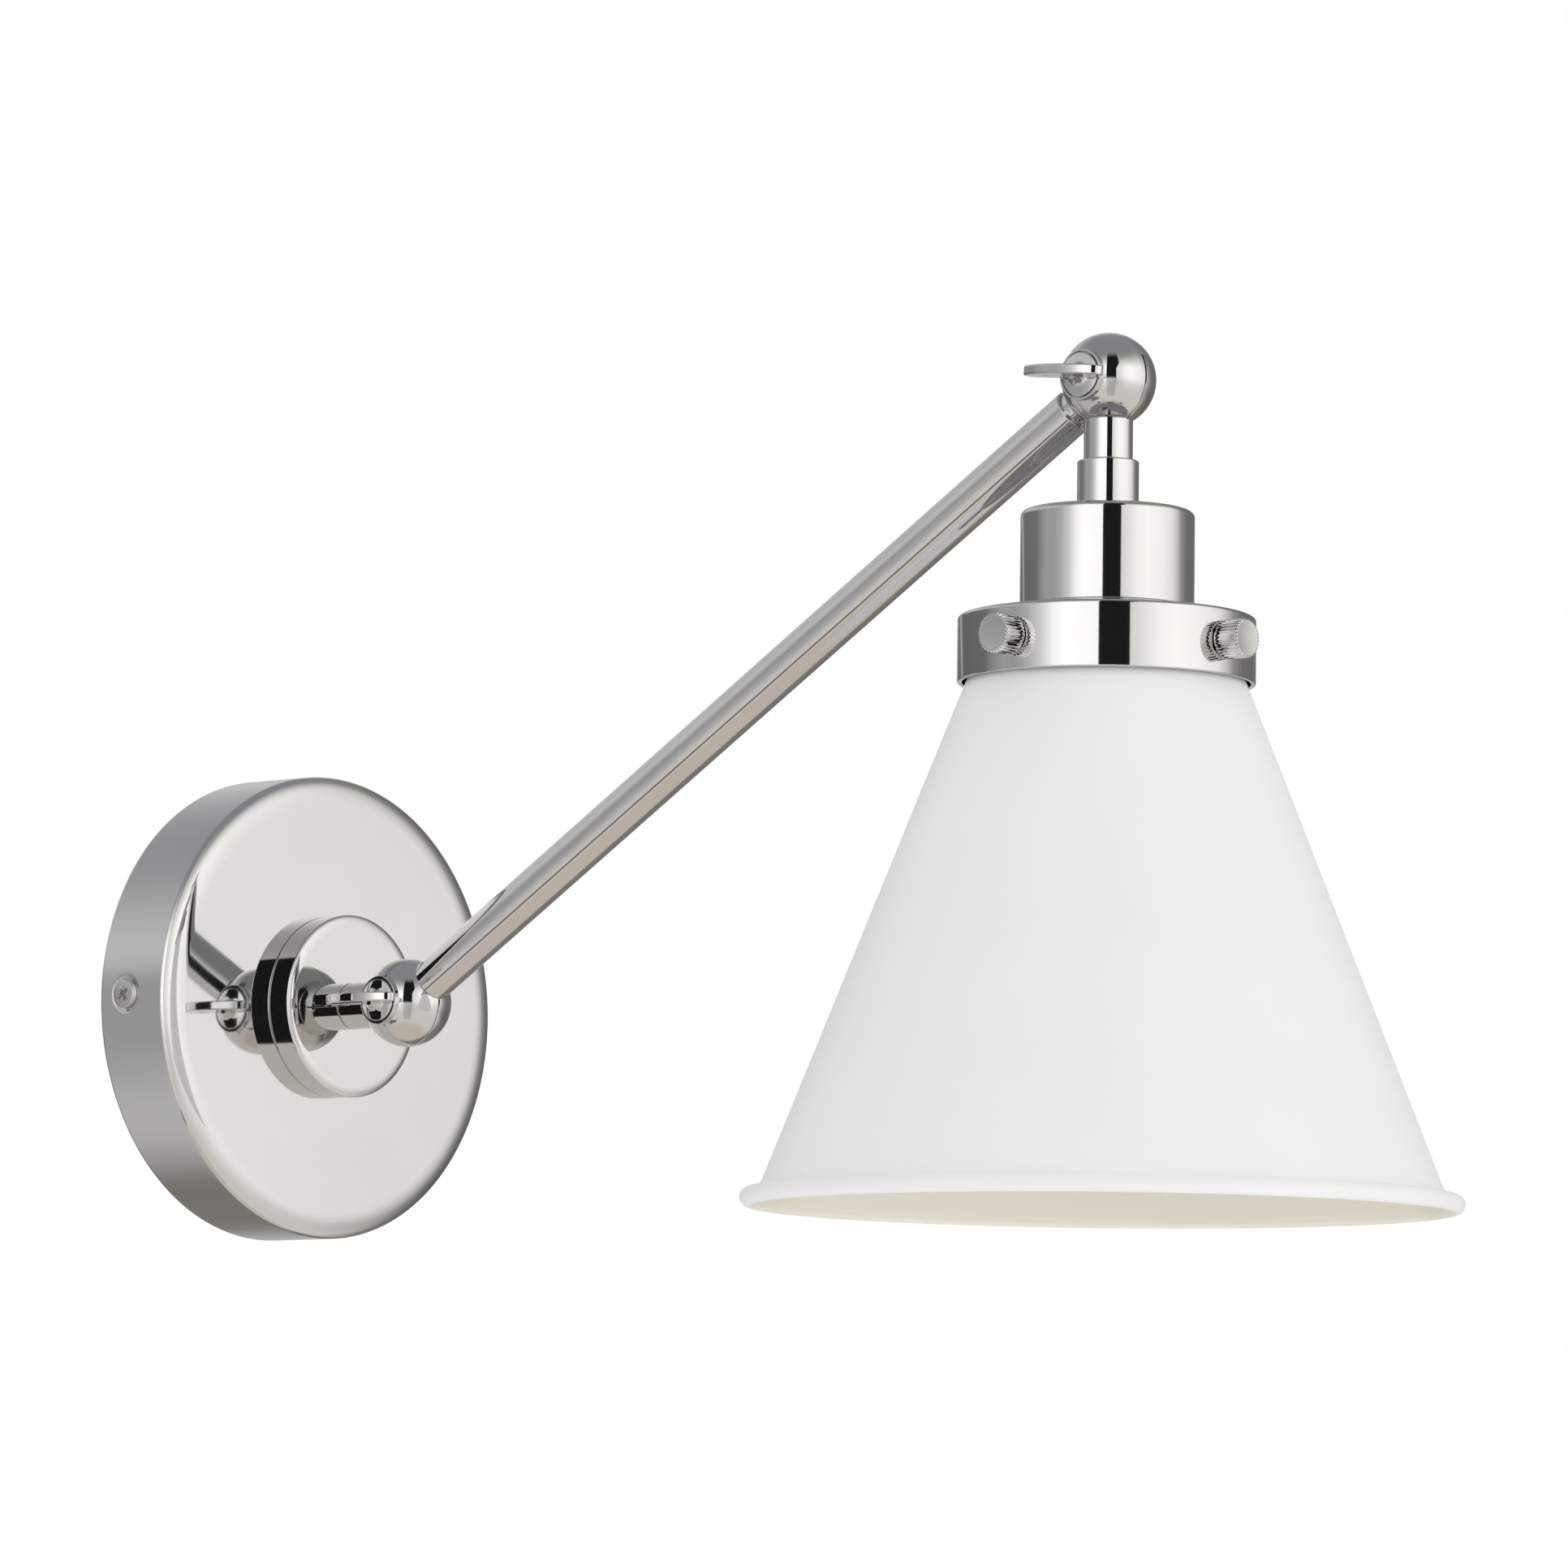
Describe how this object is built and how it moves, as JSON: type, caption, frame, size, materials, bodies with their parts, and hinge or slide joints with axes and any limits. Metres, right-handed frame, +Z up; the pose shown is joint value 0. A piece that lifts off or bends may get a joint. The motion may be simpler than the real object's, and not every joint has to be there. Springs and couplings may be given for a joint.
{
  "type": "swing arm wall sconce",
  "caption": "Wall sconce with a round backplate, a straight arm on two keyed ball knuckles, and a cone shade held by thumbscrews.",
  "frame": {"origin": "centre of the backplate on the wall plane", "axes": "+Z up, +Y into the wall, so the lamp stands out along -Y; +X to the right of a person who faces the wall"},
  "size_m": [0.181, 0.3876, 0.223],
  "materials": {
    "nickel": "polished nickel plate",
    "zinc_steel": "zinc plated steel",
    "brass": "plain brass",
    "ground_green": "green dyed screw",
    "white_paint": "matte white powder coat outside, warm white inside",
    "phenolic": "black moulded phenolic",
    "friction_pad": "fibre washer",
    "wire": "insulated twin lead",
    "frosted_glass": "frosted",
    "black_glass": "black glass insulator"
  },
  "bodies": {
    "wall_mount": {"backplate": "nickel", "crossbar": "zinc_steel", "canopy_screw_left": "nickel", "canopy_screw_right": "nickel", "ground_screw": "ground_green", "hub_disc": "nickel", "stop_pin": "zinc_steel"},
    "stem": {"stem_knuckle": "nickel", "stem_nipple": "brass", "stop_washer": "zinc_steel", "wave_washer": "zinc_steel", "hub_nut": "brass", "stem_lead": "wire"},
    "lower_key": {"lower_key": "nickel", "lower_key_stud": "zinc_steel"},
    "arm": {"lower_knuckle_cap": "nickel", "lower_friction_washer": "friction_pad", "arm_tube": "nickel", "upper_knuckle_cap": "nickel", "upper_friction_washer": "friction_pad", "arm_lead": "wire"},
    "upper_key": {"upper_key": "nickel", "upper_key_stud": "zinc_steel"},
    "lamp_head": {"neck_knuckle": "nickel", "neck_coupling": "nickel", "neck_nipple": "brass", "cup_nut": "brass", "socket_cup": "nickel", "shade_collar": "nickel", "lampholder_body": "phenolic", "lampholder_shell": "brass", "lampholder_contact": "brass", "lampholder_ring": "phenolic", "head_lead": "wire", "shade": "white_paint", "bulb_globe": "frosted_glass", "bulb_cap": "zinc_steel", "bulb_insulator": "black_glass", "bulb_tip": "zinc_steel"},
    "thumbscrew_left": {"thumbscrew_left": "nickel"},
    "thumbscrew_front": {"thumbscrew_front": "nickel"},
    "thumbscrew_right": {"thumbscrew_right": "nickel"},
    "thumbscrew_rear": {"thumbscrew_rear": "nickel"}
  },
  "joints": [
    {"name": "stem_swivel", "type": "hinge", "parent": "wall_mount", "child": "stem", "pos_m": [0, -0.0256, 0], "axis": [0, -1, 0], "range_deg": [-90, 90]},
    {"name": "arm_pivot", "type": "hinge", "parent": "stem", "child": "arm", "pos_m": [0, -0.0538, 0], "axis": [-1, 0, 0], "range_deg": [-80, 58]},
    {"name": "lower_key_turn", "type": "hinge", "parent": "stem", "child": "lower_key", "pos_m": [0, -0.0538, 0], "axis": [-1, 0, 0], "range_deg": [0, 360]},
    {"name": "shade_pivot", "type": "hinge", "parent": "arm", "child": "lamp_head", "pos_m": [0, -0.2971, 0.1475], "axis": [-1, 0, 0], "range_deg": [-4, 120]},
    {"name": "upper_key_turn", "type": "hinge", "parent": "lamp_head", "child": "upper_key", "pos_m": [0, -0.2971, 0.1475], "axis": [-1, 0, 0], "range_deg": [0, 360]},
    {"name": "thumbscrew_left_turn", "type": "hinge", "parent": "lamp_head", "child": "thumbscrew_left", "pos_m": [0, -0.2971, 0.0785], "axis": [-1, 0, 0], "range_deg": [0, 720]},
    {"name": "thumbscrew_front_turn", "type": "hinge", "parent": "lamp_head", "child": "thumbscrew_front", "pos_m": [0, -0.2971, 0.0785], "axis": [0, -1, 0], "range_deg": [0, 720]},
    {"name": "thumbscrew_right_turn", "type": "hinge", "parent": "lamp_head", "child": "thumbscrew_right", "pos_m": [0, -0.2971, 0.0785], "axis": [1, 0, 0], "range_deg": [0, 720]},
    {"name": "thumbscrew_rear_turn", "type": "hinge", "parent": "lamp_head", "child": "thumbscrew_rear", "pos_m": [0, -0.2971, 0.0785], "axis": [0, 1, 0], "range_deg": [0, 720]}
  ]
}
